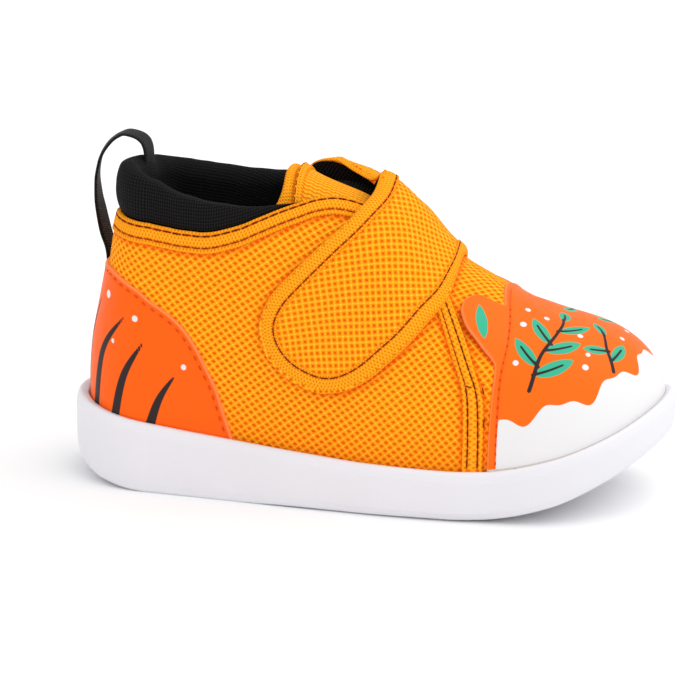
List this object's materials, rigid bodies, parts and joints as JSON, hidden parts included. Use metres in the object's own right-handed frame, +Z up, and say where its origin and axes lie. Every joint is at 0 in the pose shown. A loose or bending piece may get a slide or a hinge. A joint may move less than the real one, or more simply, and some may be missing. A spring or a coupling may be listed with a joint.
{
  "type": "squeaky toddler shoe",
  "caption": "Toddler's ankle shoe for the right foot: orange mesh upper, hook-and-loop strap, padded black collar with pull loop, coated toe and heel covers, white cup sole.",
  "frame": {"origin": "on the floor under the middle of the sole's outline", "axes": "+X from heel to toe, +Y to the inner (medial) side, +Z up"},
  "size_m": [0.146, 0.0624, 0.0825],
  "materials": {
    "outsole": "white moulded sole, smooth satin side wall",
    "insole": "black cloth over foam",
    "upper": "orange open mesh, matt",
    "toe_cap": "coated orange sheet with a printed white lower band, satin",
    "heel_counter": null,
    "topline_binding": "ribbed orange tape, matt",
    "quarter_edge_lateral": "ribbed orange tape, matt",
    "quarter_edge_medial": "ribbed orange tape, matt",
    "collar": "black knit over foam, matt",
    "tongue": "orange cloth, matt",
    "tongue_binding": "ribbed orange tape, matt",
    "strap": "orange open mesh with a bound edge, matt, black lining",
    "pull_loop": "black webbing, soft sheen"
  },
  "bodies": {
    "root": {"outsole": "outsole", "insole": "insole", "upper": "upper", "toe_cap": "toe_cap", "heel_counter": "heel_counter", "topline_binding": "topline_binding", "quarter_edge_lateral": "quarter_edge_lateral", "quarter_edge_medial": "quarter_edge_medial", "collar": "collar", "tongue": "tongue", "tongue_binding": "tongue_binding", "strap": "strap", "pull_loop": "pull_loop"}
  },
  "joints": []
}
